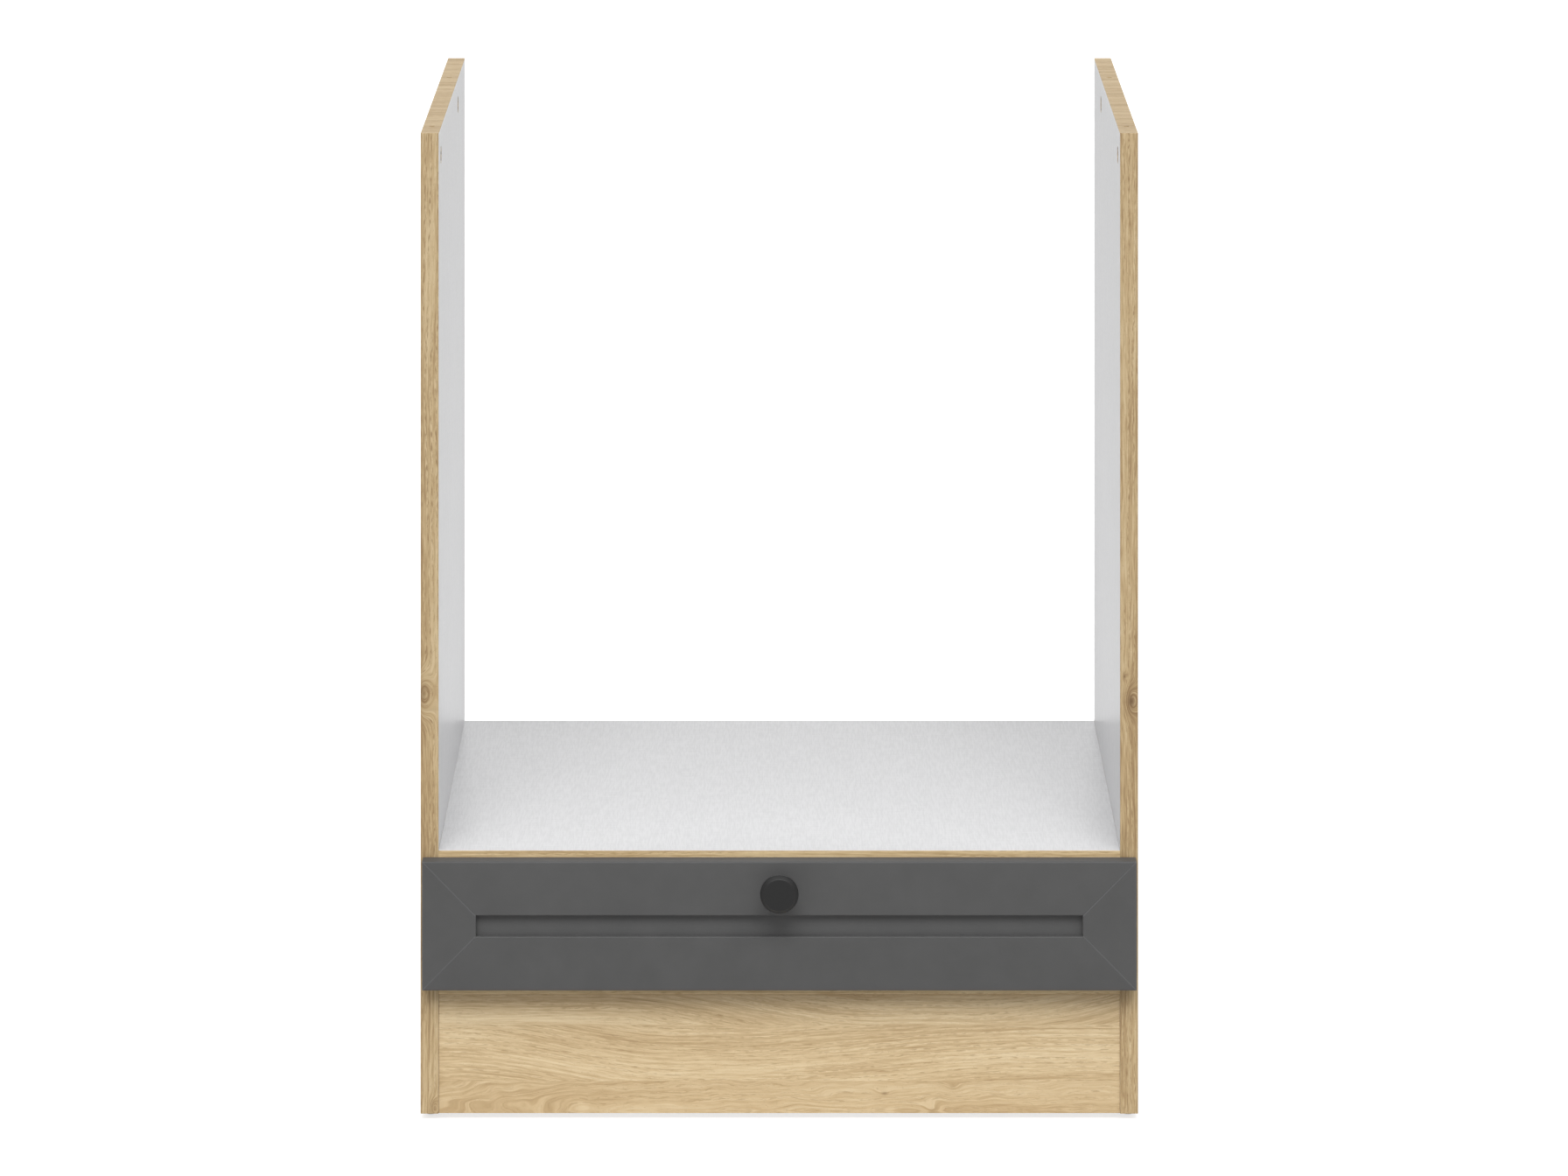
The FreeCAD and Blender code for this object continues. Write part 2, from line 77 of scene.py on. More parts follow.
def mitre_inner():
    """Inner corner of the mitred frame: x and z where rail, stile and recess meet."""
    mesh = nodes["front_top_rail"].data
    face_y = top_rail_low.y + 2 * MM
    below = top_rail_high.z - 20 * MM
    inner = [v.co for v in mesh.vertices if v.co.y < face_y and v.co.z < below]
    return max(co.x for co in inner), min(co.z for co in inner)


mitre_x, mitre_z = mitre_inner()


# Shader nodes -------------------------------------------------------------------------------


def srgb(red, green, blue):
    """Linear colour of 8-bit sRGB values."""
    def linear(value):
        share = value / 255
        return share / 12.92 if share <= 0.04045 else ((share + 0.055) / 1.055) ** 2.4

    return (linear(red), linear(green), linear(blue), 1.0)


def grey(value):
    return srgb(value, value, value)


SOCKETS = {"metallic": "Metallic", "specular": "Specular IOR Level"}


class Shader:
    """One node material. Its methods add nodes and, but for feed and set, give an output socket.
    Where they take a value, it is a socket or a number."""

    def __init__(self, name, **inputs):
        self.material = bpy.data.materials.new(name)
        self.material.use_nodes = True
        self.tree = self.material.node_tree
        self.surface = self.tree.nodes["Principled BSDF"]
        for key, value in inputs.items():
            self.set(SOCKETS[key], value)
        self.position = self.add("TexCoord").outputs["Object"]
        self.x, self.y, self.z = self.split(self.position)

    def add(self, kind, *values, **settings):
        """New node, with values for its first inputs."""
        made = self.tree.nodes.new("ShaderNode" + kind)
        for key, value in settings.items():
            setattr(made, key, value)
        for socket, value in zip(made.inputs, values):
            self.feed(socket, value)
        return made

    def feed(self, socket, value):
        if isinstance(value, bpy.types.NodeSocket):
            self.tree.links.new(value, socket)
        else:
            socket.default_value = value

    def set(self, name, value):
        self.feed(self.surface.inputs[name], value)

    def split(self, vector):
        return tuple(self.add("SeparateXYZ", vector).outputs)

    def join(self, x, y, z=0.0):
        return self.add("CombineXYZ", x, y, z).outputs[0]

    def math(self, operation, a, b=0.0):
        return self.add("Math", a, b, operation=operation).outputs[0]

    def plus(self, a, b):
        return self.math("ADD", a, b)

    def minus(self, a, b):
        return self.math("SUBTRACT", a, b)

    def times(self, a, b):
        return self.math("MULTIPLY", a, b)

    def distance(self, a, b):
        """Length of the vector (a, b)."""
        return self.math("SQRT", self.plus(self.times(a, a), self.times(b, b)))

    def step(self, value, low, high):
        """0 below low and 1 above high, with a smooth rise between them. low may be above high."""
        edges = (high, low, 1.0, 0.0) if low > high else (low, high, 0.0, 1.0)
        return self.add("MapRange", value, *edges, interpolation_type="SMOOTHSTEP").outputs[0]

    def bell(self, distance, width):
        """1 where distance is 0, falling off to 0 over about twice the width."""
        share = self.times(distance, 1 / width)
        square = self.times(share, share)
        return self.math("EXPONENT", self.times(square, -1.0))

    def noise(self, vector, scale=1.0, detail=2.0, roughness=0.5):
        made = self.add("TexNoise")
        self.feed(made.inputs["Vector"], vector)
        for name, value in (("Scale", scale), ("Detail", detail), ("Roughness", roughness)):
            made.inputs[name].default_value = value
        return made.outputs["Fac"]

    def stretched(self, u, v, along, across, w=0.0, detail=2.0, roughness=0.5):
        """Noise with features 1/along long and 1/across wide, in metres."""
        vector = self.join(self.times(u, along), self.times(v, across), w)
        return self.noise(vector, 1.0, detail, roughness)

    def mix(self, share, a, b, blend="MIX"):
        """Colour between a and b."""
        made = self.add("Mix", data_type="RGBA", blend_type=blend)
        for index, value in ((0, share), (6, a), (7, b)):
            self.feed(made.inputs[index], value)
        return made.outputs[2]

    def blend(self, share, a, b):
        """Number between a and b."""
        return self.plus(a, self.times(share, self.minus(b, a)))

    def ramp(self, value, *stops):
        """Colour for a value. The stops are (value, colour)."""
        made = self.add("ValToRGB", value)
        elements = made.color_ramp.elements
        while len(elements) < len(stops):
            elements.new(0.5)
        for element, (place, colour) in zip(elements, stops):
            element.position = place
            element.color = colour
        return made.outputs[0]

    def normal(self, axis):
        """How far the face looks along the axis, from -1 to 1."""
        parts = self.split(self.add("NewGeometry").outputs["True Normal"])
        return parts["xyz".index(axis)]

    def facing(self, axis):
        """1 on faces that look along the axis or against it."""
        return self.math("GREATER_THAN", self.math("ABSOLUTE", self.normal(axis)), 0.8)

    def finish(self, colour, roughness, height, relief):
        """Gives the surface its looks and returns the material. A height of 1 is relief metres."""
        bump = self.add("Bump")
        bump.inputs["Distance"].default_value = relief
        self.feed(bump.inputs["Height"], height)
        self.set("Base Color", colour)
        self.set("Roughness", roughness)
        self.set("Normal", bump.outputs[0])
        return self.material


def choose(s, share, first, second):
    """Mix of two finishes given as (colour, roughness, height)."""
    colour = s.mix(share, first[0], second[0])
    return colour, s.blend(share, first[1], second[1]), s.blend(share, first[2], second[2])


# Oak ----------------------------------------------------------------------------------------

OAK_DARK = srgb(158, 130, 94)
OAK_MID = srgb(190, 163, 122)
OAK_MAIN = srgb(216, 192, 151)
OAK_LIGHT = srgb(232, 212, 174)
OAK_PORE = srgb(154, 122, 82)
OAK_KNOT = srgb(112, 84, 54)

# What the edge bands' oak is multiplied by.
TOP_BAND_TINT = (0.84, 0.82, 0.79, 1.0)
UPRIGHT_TINT = (0.78, 0.75, 0.70, 1.0)
# The shelf and bottom bands are painted lighter than the other bands, to make up for the shade that
# the drawer front casts on them.
SHELF_BAND_PAINTED_LIGHT_TINT = (1.06, 1.05, 1.01, 1.0)

RINGS_PER_METRE = 260.0
BOARD_RELIEF = 0.10 * MM
BAND_RELIEF = 0.08 * MM

# Knots: place along and across the grain, width, and darkness of the core. They are given in
# (z, y) on the sides, (z, x) on the upright bands, and (x, depth below the top) on the plinth.
SIDE_KNOTS = ((0.62, -0.11, 0.016, 0.6), (0.28, 0.17, 0.011, 0.7), (0.13, -0.04, 0.006, 0.6))
UPRIGHT_KNOTS = ((0.3555, -0.2992, 0.0090, 0.5), (0.350, 0.2944, 0.0060, 0.95),
                 (0.3706, 0.2887, 0.0018, 0.8), (0.010, -0.2890, 0.0040, 0.1))
PLINTH_KNOTS = ((0.088, 0.0835, 0.0042, 0.75), (0.145, 0.0780, 0.0036, 0.30),
                (0.119, 0.0875, 0.0016, 0.5), (0.128, 0.0975, 0.0040, 0.2))


def around_knots(s, u, v, knots, reach=1.9, core_share=0.3):
    """How far knots push the grain aside, how near their dark cores are, and how near the knots
    themselves. reach is the push in widths, and core_share the part of the width that is core."""
    squeeze = 0.48  # makes knots about twice as long as wide
    push = 0.0
    core = 0.0
    near = 0.0
    for knot_u, knot_v, width, darkness in knots:
        distance = s.distance(s.times(s.minus(u, knot_u), squeeze), s.minus(v, knot_v))
        push = s.plus(push, s.times(s.bell(distance, width), reach * width))
        core = s.math("MAXIMUM", core, s.times(s.bell(distance, core_share * width), darkness))
        near = s.math("MAXIMUM", near, s.bell(distance, 1.1 * width))
    return push, core, near


def wander(s, u, v, place, amount):
    """Slow and quick straying of the grain, in metres."""
    slow = s.minus(s.stretched(u, v, 2.6, 9.0, place), 0.5)
    quick = s.minus(s.stretched(u, v, 16.0, 60.0, place), 0.5)
    return s.plus(s.times(slow, amount), s.times(quick, 0.16 * amount))


def oak_pores(s, u, flow, place, early):
    """Open pores: rows of short dashes, mostly in the early wood, and single specks."""
    dash = s.stretched(u, flow, 170.0, 1000.0, place, detail=1.0)
    speck = s.stretched(u, flow, 420.0, 1500.0, place, detail=1.0)
    rows = s.stretched(u, flow, 7.0, 110.0, s.plus(place, 9.3))
    pores = s.times(s.step(dash, 0.42, 0.66), s.plus(0.15, s.times(early, 0.85)))
    pores = s.times(pores, s.step(rows, 0.34, 0.58))
    return s.math("MAXIMUM", pores, s.times(s.step(speck, 0.64, 0.76), 0.7))


def oak(s, u, flow, place=0.0, core=0.0, near=0.0, contrast=1.0):
    """Pale oak: colour, roughness and relief. u is the distance along the grain and flow the
    distance across it, in metres. The same place gives the same figure. core and near come from
    around_knots."""
    jitter = s.times(s.stretched(u, flow, 6.0, 50.0, place), 1.6)
    ring = s.math("FRACT", s.plus(s.times(flow, RINGS_PER_METRE), jitter))
    late = s.times(s.step(ring, 0.15, 0.85), s.step(ring, 1.0, 0.93))
    early = s.times(s.step(ring, 0.0, 0.10), s.step(ring, 0.60, 0.25))

    fade = s.step(s.stretched(u, flow, 4.0, 70.0, place, detail=3.0), 0.38, 0.62)
    broad = s.stretched(u, flow, 2.0, 75.0, s.plus(place, 5.1), detail=3.0)
    streak = s.stretched(u, flow, 9.0, 420.0, place, detail=3.0, roughness=0.6)
    thread = s.stretched(u, flow, 70.0, 800.0, s.plus(place, 2.7), detail=1.0)
    fibre = s.stretched(u, flow, 60.0, 1500.0, place)
    tone = 0.70
    for part, weight in ((broad, 0.75), (streak, 0.65 * contrast),
                         (thread, 0.45 * contrast), (fibre, 0.5 * contrast)):
        tone = s.plus(tone, s.times(s.minus(part, 0.5), weight))
    lines = s.plus(s.times(fade, 0.20 * contrast), s.times(near, 0.45))
    tone = s.minus(tone, s.times(late, lines))
    colour = s.ramp(tone, (0.12, OAK_DARK), (0.42, OAK_MID), (0.68, OAK_MAIN), (0.95, OAK_LIGHT))

    pores = oak_pores(s, u, flow, place, early)
    colour = s.mix(s.times(pores, 0.48 * contrast), colour, OAK_PORE)
    colour = s.mix(core, colour, OAK_KNOT)
    roughness = s.plus(0.54, s.times(pores, 0.2))
    height = s.minus(s.times(fibre, 0.35), pores)
    return colour, roughness, height


def upright_band():
    """Edge band on the sides' front edges: upright grain, and a ringed knot where each side has
    one. It is darker towards both of its long edges."""
    s = Shader("upright_band")
    place = 11.0
    push, core, near = around_knots(s, s.z, s.x, UPRIGHT_KNOTS, 2.2, 0.42)
    flow = s.plus(s.plus(s.x, push), wander(s, s.z, s.x, place, 0.02))
    colour, roughness, height = oak(s, s.z, flow, place, core, near, 1.5)
    colour = s.mix(s.times(near, 0.12), colour, OAK_PORE)
    off_middle = s.minus(s.math("ABSOLUTE", s.x), half_width - board / 2)
    outer_rim = s.step(off_middle, 0.34 * board, 0.5 * board)
    inner_rim = s.step(off_middle, -0.42 * board, -0.5 * board)
    rim = s.plus(outer_rim, s.times(inner_rim, 0.5))
    colour = s.mix(s.times(rim, 0.35), colour, OAK_DARK)
    colour = s.mix(1.0, colour, UPRIGHT_TINT, "MULTIPLY")
    return s.finish(colour, roughness, height, BAND_RELIEF)


def crosswise_band(name, tint):
    """Edge band whose figure runs along X."""
    s = Shader(name)
    place = 17.0
    v = s.plus(s.z, s.y)
    flow = s.plus(v, wander(s, s.x, v, place, 0.012))
    colour, roughness, height = oak(s, s.x, flow, place)
    colour = s.mix(1.0, colour, tint, "MULTIPLY")
    return s.finish(colour, roughness, height, BAND_RELIEF)


def plinth_flow(s, v, drop, first, second):
    """Distance across the grain in the plinth's strips: the upper one dips and fans up again, the
    middle one falls gently, and the lowest has nested arches on the left. drop is the depth below
    the top edge and v the same with the grain's straying."""
    fan = s.math("MAXIMUM", s.minus(s.x, 0.16), 0.0)
    upper = s.minus(v, s.times(s.step(s.x, -0.15, 0.08), 0.030))
    upper = s.plus(upper, s.times(s.times(fan, fan), 1.1))

    middle = s.minus(v, s.times(s.step(s.x, -0.27, -0.08), 0.024))
    middle = s.plus(middle, s.times(s.step(s.x, -0.04, 0.22), 0.014))

    curl = s.minus(s.stretched(s.x, drop, 32.0, 75.0, 2.2, detail=1.0), 0.5)
    from_pith = s.minus(0.097, v)
    depth = s.times(s.math("MAXIMUM", s.minus(-0.12, s.x), 0.0), 0.14)
    lower = s.plus(s.distance(from_pith, depth), s.times(curl, 0.010))
    lower = s.minus(lower, s.times(s.x, 0.02))
    return s.blend(second, s.blend(first, upper, middle), lower)


def plinth_oak():
    """Three strips of oak along the plinth, with painted shade along its top edge where the bottom
    panel overhangs it, darker at its ends, and bare chipboard on its edges."""
    s = Shader("plinth_oak")
    drop = s.minus(plinth_high.z, s.z)
    first = s.math("GREATER_THAN", drop, 0.026)
    second = s.math("GREATER_THAN", drop, 0.073)
    place = s.plus(s.times(first, 3.7), s.times(second, 4.9))
    v = s.plus(drop, wander(s, s.x, drop, place, 0.008))
    push, core, near = around_knots(s, s.x, drop, PLINTH_KNOTS, 0.9)
    flow = s.plus(plinth_flow(s, v, drop, first, second), push)
    colour, roughness, height = oak(s, s.x, flow, place, core, s.times(near, 0.4))
    colour = s.mix(s.plus(0.08, s.times(second, 0.26)), colour, OAK_MID)
    end = s.step(s.math("ABSOLUTE", s.x), inner_x - 1.2 * MM, inner_x - 0.2 * MM)
    # Painted shadow of the overhanging bottom panel and its band along the top edge, together with
    # the dark joint line there.
    top = s.step(drop, 2.4 * MM, 0.3 * MM)
    colour = s.mix(s.plus(s.times(end, 0.2), s.times(top, 0.7)), colour, OAK_DARK)
    result = choose(s, s.facing("y"), chipboard(s), (colour, roughness, height))
    return s.finish(*result, BOARD_RELIEF)


# Boards -------------------------------------------------------------------------------------


def white(s, a, b):
    """Satin white foil with a fine weave along a and b, in metres."""
    warp = s.stretched(a, b, 45.0, 760.0)
    weft = s.stretched(a, b, 760.0, 50.0, 3.7)
    weave = s.blend(0.6, warp, weft)
    colour = s.mix(s.step(weave, 0.36, 0.64), srgb(218, 218, 219), srgb(229, 229, 230))
    return colour, 0.30, weave


def chipboard(s):
    """Raw cut edge: pale chips of several sizes, pressed flat."""
    chips = s.add("TexVoronoi", s.position)
    chips.inputs["Scale"].default_value = 620.0
    light, warm, _ = s.split(chips.outputs["Color"])
    grain = s.noise(s.position, 900.0, 3.0)
    tone = s.plus(s.times(light, 0.6), s.times(grain, 0.5))
    colour = s.ramp(tone, (0.2, srgb(172, 142, 102)), (0.55, srgb(196, 168, 126)),
                    (0.9, srgb(218, 194, 154)))
    colour = s.mix(s.step(warm, 0.88, 0.94), colour, srgb(150, 116, 82))
    return colour, 0.9, grain


def side_board():
    """Oak outside, white inside, and bare chipboard on the lower and rear edges. The oak has tall
    nested arches about an upright heart, whose place, depth and slope come from one fixed draw."""
    s = Shader("side_board", specular=0.08)
    lot = s.add("TexWhiteNoise", noise_dimensions="1D")
    draw_a, draw_b, draw_c = s.split(lot.outputs["Color"])
    pith = s.times(s.minus(draw_a, 0.5), 0.12)
    across = s.plus(s.plus(s.y, pith), wander(s, s.z, s.y, s.times(draw_b, 40.0), 0.02))
    depth = s.plus(s.times(draw_b, 0.04), s.times(s.plus(s.z, draw_c), 0.05))
    push, core, near = around_knots(s, s.z, s.y, SIDE_KNOTS)
    flow = s.plus(s.distance(across, depth), push)
    timber = oak(s, s.z, flow, s.times(draw_a, 60.0), core, s.times(near, 0.5))
    outside = s.math("GREATER_THAN", s.math("ABSOLUTE", s.x), half_width - board / 2)
    faces = choose(s, outside, white(s, s.y, s.z), timber)
    result = choose(s, s.facing("x"), chipboard(s), faces)
    return s.finish(*result, BOARD_RELIEF)


def white_board():
    """White on both faces, bare chipboard on the edges."""
    s = Shader("white_board", specular=0.22)
    result = choose(s, s.facing("z"), chipboard(s), white(s, s.x, s.y))
    return s.finish(*result, BOARD_RELIEF)


def drawer_back_board():
    """White, with bare chipboard at its ends."""
    s = Shader("drawer_back_board", specular=0.3)
    result = choose(s, s.facing("x"), white(s, s.x, s.z), chipboard(s))
    return s.finish(*result, BOARD_RELIEF)


def hardboard():
    """White lacquer towards the drawer, brown and fibrous towards the wall."""
    s = Shader("hardboard")
    fibres = s.noise(s.position, 700.0, 4.0, 0.7)
    clouds = s.noise(s.position, 9.0, 3.0)
    tone = s.plus(s.times(fibres, 0.8), s.times(clouds, 0.3))
    brown = s.ramp(tone, (0.3, srgb(104, 74, 48)), (0.75, srgb(156, 118, 80)))
    towards_drawer = s.math("LESS_THAN", s.normal("y"), -0.5)
    colour = s.mix(towards_drawer, brown, srgb(226, 226, 224))
    return s.finish(colour, s.blend(towards_drawer, 0.85, 0.4), fibres, 0.12 * MM)


def soft_wood(name, dark, light):
    """Plain wood with its rings seen from the side, in its own two tones."""
    s = Shader(name)
    rings = s.stretched(s.x, s.z, 8.0, 420.0, s.times(s.y, 300.0), detail=3.0)
    fibre = s.stretched(s.x, s.z, 30.0, 1500.0, s.times(s.y, 900.0))
    tone = s.plus(s.times(rings, 0.75), s.times(fibre, 0.3))
    return s.finish(s.ramp(tone, (0.32, dark), (0.72, light)), 0.75, fibre, 0.05 * MM)


# Foil, metal and plastic --------------------------------------------------------------------


def graphite(name, low, high):
    """Matt graphite foil with a soft grain, and a fine lighter line along each mitre."""
    s = Shader(name, specular=0.35)
    fine = s.noise(s.position, 1500.0, 3.0, 0.6)
    soft = s.noise(s.position, 35.0, 3.0, 0.55)
    tone = s.plus(s.times(fine, 0.35), s.times(soft, 0.65))
    colour = s.ramp(tone, (0.30, grey(low)), (0.70, grey(high)))
    middle_z = (panel_low.z + panel_high.z) / 2
    corner_x = top_rail_high.x
    corner_z = top_rail_high.z - middle_z
    slope = (top_rail_high.z - mitre_z) / (corner_x - mitre_x)
    run = s.minus(corner_x, s.math("ABSOLUTE", s.x))
    fall = s.minus(corner_z, s.math("ABSOLUTE", s.minus(s.z, middle_z)))
    off_line = s.math("ABSOLUTE", s.minus(fall, s.times(run, slope)))
    in_front = s.step(s.y, top_rail_low.y + 1.0 * MM, top_rail_low.y + 0.2 * MM)
    mitre = s.times(s.step(off_line, 0.9 * MM, 0.2 * MM), in_front)
    colour = s.mix(s.times(mitre, 0.55), colour, srgb(106, 107, 108))
    return s.finish(colour, s.plus(0.50, s.times(fine, 0.12)), fine, 0.02 * MM)


def knob_black():
    """Satin black lacquer."""
    s = Shader("knob_black", specular=0.3)
    grain = s.noise(s.position, 2600.0, 3.0, 0.6)
    colour = s.ramp(grain, (0.3, grey(18)), (0.7, grey(22)))
    return s.finish(colour, s.plus(0.36, s.times(grain, 0.12)), grain, 0.02 * MM)


def coated_steel():
    """Light grey epoxy on sheet steel, with a faint orange peel."""
    s = Shader("coated_steel")
    peel = s.noise(s.position, 520.0)
    clouds = s.noise(s.position, 14.0, 3.0)
    colour = s.ramp(clouds, (0.3, srgb(206, 207, 206)), (0.7, srgb(216, 217, 216)))
    return s.finish(colour, s.plus(0.26, s.times(peel, 0.12)), peel, 0.03 * MM)


def nylon():
    s = Shader("nylon")
    specks = s.noise(s.position, 1100.0)
    colour = s.ramp(specks, (0.3, srgb(218, 218, 212)), (0.7, srgb(232, 232, 227)))
    return s.finish(colour, s.plus(0.34, s.times(specks, 0.15)), specks, 0.01 * MM)


def zinc(name, low, high, scale):
    """Bare zinc: a crystalline mottle in brightness and gloss."""
    s = Shader(name, metallic=1.0)
    grain = s.noise(s.position, scale, 4.0, 0.65)
    colour = s.ramp(grain, (0.25, low), (0.75, high))
    return s.finish(colour, s.plus(0.22, s.times(grain, 0.26)), grain, 0.02 * MM)


def moulded(name, colour, roughness):
    """Moulded plastic or rubber, finely grained."""
    s = Shader(name)
    grain = s.noise(s.position, 1800.0, 3.0, 0.6)
    darker = tuple(0.82 * part for part in colour[:3]) + (1.0,)
    mottled = s.mix(grain, darker, colour)
    return s.finish(mottled, s.plus(roughness, s.times(grain, 0.1)), grain, 0.02 * MM)


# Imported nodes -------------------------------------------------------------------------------

# Radius worn or pressed onto corners.
BOARD_EDGE = 0.25 * MM
BAND_EDGE = 0.3 * MM
FRAME_EDGE = 0.35 * MM
ROUNDED_EDGE = 0.8 * MM


def crisp_edges():
    """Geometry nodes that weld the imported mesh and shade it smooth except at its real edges."""
    group = bpy.data.node_groups.new("crisp_edges", "GeometryNodeTree")
    for way in ("INPUT", "OUTPUT"):
        group.interface.new_socket("Geometry", in_out=way, socket_type="NodeSocketGeometry")
    start = group.nodes.new("NodeGroupInput")
    end = group.nodes.new("NodeGroupOutput")
    weld = group.nodes.new("GeometryNodeMergeByDistance")
    weld.inputs["Distance"].default_value = WELD
    drop = group.nodes.new("GeometryNodeRemoveAttribute")
    drop.inputs["Name"].default_value = "custom_normal"
    smooth = group.nodes.new("GeometryNodeSetShadeSmooth")
    smooth.inputs["Shade Smooth"].default_value = True
    angle = group.nodes.new("GeometryNodeInputMeshEdgeAngle")
    sharp = group.nodes.new("FunctionNodeCompare")
    sharp.operation = "GREATER_THAN"
    sharp.inputs[1].default_value = math.radians(28)
    edges = group.nodes.new("GeometryNodeSetShadeSmooth")
    edges.domain = "EDGE"
    edges.inputs["Shade Smooth"].default_value = False
    group.links.new(start.outputs[0], weld.inputs["Geometry"])
    group.links.new(weld.outputs[0], drop.inputs["Geometry"])
    group.links.new(drop.outputs[0], smooth.inputs["Geometry"])
    group.links.new(smooth.outputs[0], edges.inputs["Geometry"])
    group.links.new(angle.outputs["Unsigned Angle"], sharp.inputs[0])
    group.links.new(sharp.outputs[0], edges.inputs["Selection"])
    group.links.new(edges.outputs[0], end.inputs[0])
    return group


CRISP_EDGES = crisp_edges()


def dress(material, *names, edge=0.0):
    """Gives nodes their finish. edge is the radius of their corners."""
    for name in names:
        node = nodes[name]
        node.data.materials.clear()
        node.data.materials.append(material)
        weld = node.modifiers.new("crisp_edges", "NODES")
        weld.node_group = CRISP_EDGES
        if edge:
            flat = node.modifiers.new("flat_faces", "DECIMATE")
            flat.decimate_type = "DISSOLVE"
            flat.angle_limit = math.radians(0.5)
            bevel = node.modifiers.new("soft_corners", "BEVEL")
            bevel.width = edge
            bevel.segments = 2
            bevel.limit_method = "ANGLE"
            bevel.angle_limit = math.radians(40)
            bevel.use_clamp_overlap = True
            bevel.harden_normals = True


def both(name):
    return name + "_left", name + "_right"


def solid_boxes(name):
    """Lowest and highest corner of each separate solid in a node."""
    bm = bmesh.new()
    bm.from_mesh(nodes[name].data)
    bmesh.ops.remove_doubles(bm, verts=bm.verts, dist=WELD)
    seen_verts = set()
    boxes = []
    for first in bm.verts:
        if first in seen_verts:
            continue
        seen_verts.add(first)
        solid = [first]
        for vert in solid:
            for edge in vert.link_edges:
                other = edge.other_vert(vert)
                if other not in seen_verts:
                    seen_verts.add(other)
                    solid.append(other)
        spans = [[vert.co[i] for vert in solid] for i in range(3)]
        boxes.append((Vector(map(min, spans)), Vector(map(max, spans))))
    bm.free()
    return boxes


# Forms --------------------------------------------------------------------------------------


def add_mesh(name, bm, material, body):
    """Object made from a bmesh, shaded smooth except at its real edges."""
    bmesh.ops.remove_doubles(bm, verts=bm.verts, dist=WELD)
    bmesh.ops.recalc_face_normals(bm, faces=bm.faces)
    for face in bm.faces:
        face.smooth = True
    for edge in bm.edges:
        edge.smooth = edge.is_manifold and edge.calc_face_angle(0.0) < math.radians(35)
    mesh = bpy.data.meshes.new(name)
    bm.to_mesh(mesh)
    bm.free()
    mesh.materials.append(material)
    piece = bpy.data.objects.new(name, mesh)
    bpy.context.scene.collection.objects.link(piece)
    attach(piece, body)
    return piece


def axis_frame(origin, axis):
    """Matrix that puts local Z along the axis and the local origin at origin."""
    return Matrix.Translation(origin) @ axis.to_track_quat("Z", "Y").to_matrix().to_4x4()


def circle(bm, place, along, radius, segments):
    """Ring of vertices, or a single one where the radius is 0."""
    if radius < 1e-9:
        return [bm.verts.new(place @ Vector((0, 0, along)))]
    angles = [2 * math.pi * i / segments for i in range(segments)]
    return [bm.verts.new(place @ Vector((radius * math.cos(a), radius * math.sin(a), along)))
            for a in angles]


def lathe(bm, profile, origin, axis, segments):
    """Adds a turned form. The profile is (distance along the axis, radius) from origin."""
    place = axis_frame(origin, axis)
    rings = [circle(bm, place, along, radius, segments) for along, radius in profile]
    for first, second in zip(rings, rings[1:]):
        for i in range(segments):
            corners = [first[i % len(first)], first[(i + 1) % len(first)],
                       second[(i + 1) % len(second)], second[i % len(second)]]
            corners = list(dict.fromkeys(corners))
            if len(corners) > 2:
                bm.faces.new(corners)


def arc(centre, radius, start, end, steps):
    """Points of an arc in a profile. Angles are in degrees, from the axis towards the rim."""
    angles = [math.radians(start + (end - start) * i / steps) for i in range(steps + 1)]
    return [(centre[0] + radius * math.cos(a), centre[1] + radius * math.sin(a)) for a in angles]


def cross_outline(arm, half):
    """Corners of a plus sign with arms of the given length and half width."""
    quarter = [(arm, -half), (arm, half), (half, half)]
    return [(x * cos - y * sin, x * sin + y * cos)
            for cos, sin in ((1, 0), (0, 1), (-1, 0), (0, -1)) for x, y in quarter]


def cross_screw(bm, face, axis, radius, length, segments=32):
    """Screw with a bevelled head and a tapered cross recess. face is the middle of its head and
    axis points out of it."""
    rim = 0.86 * radius
    bevel = 0.10 * radius
    recess = 0.45 * radius
    mouth_outline = cross_outline(0.58 * radius, 0.13 * radius)
    floor_outline = cross_outline(0.34 * radius, 0.08 * radius)
    profile = [(0, rim), (bevel, radius), (length, radius), (length, 0)]
    lathe(bm, profile, face, -axis, segments)
    place = axis_frame(face, -axis)
    head = circle(bm, place, 0, rim, segments)
    mouth = [bm.verts.new(place @ Vector((x, y, 0))) for x, y in mouth_outline]
    floor = [bm.verts.new(place @ Vector((x, y, recess))) for x, y in floor_outline]
    edges = []
    for loop in (head, mouth):
        edges += [bm.edges.new((loop[i - 1], loop[i])) for i in range(len(loop))]
    bmesh.ops.triangle_fill(bm, use_beauty=True, edges=edges)
    for i in range(len(mouth)):
        bm.faces.new((mouth[i - 1], mouth[i], floor[i], floor[i - 1]))
    bm.faces.new(floor)


def inward_head(low, high, sunk):
    """Middle of the head of a fastener in a side, sunk below its solid's inner end, and the way
    that it looks."""
    way = X if low.x < 0 else -X
    middle = (low + high) / 2
    inner_end = min(abs(low.x), abs(high.x))
    return Vector((0, middle.y, middle.z)) - (inner_end + sunk) * way, way


# Pieces -------------------------------------------------------------------------------------


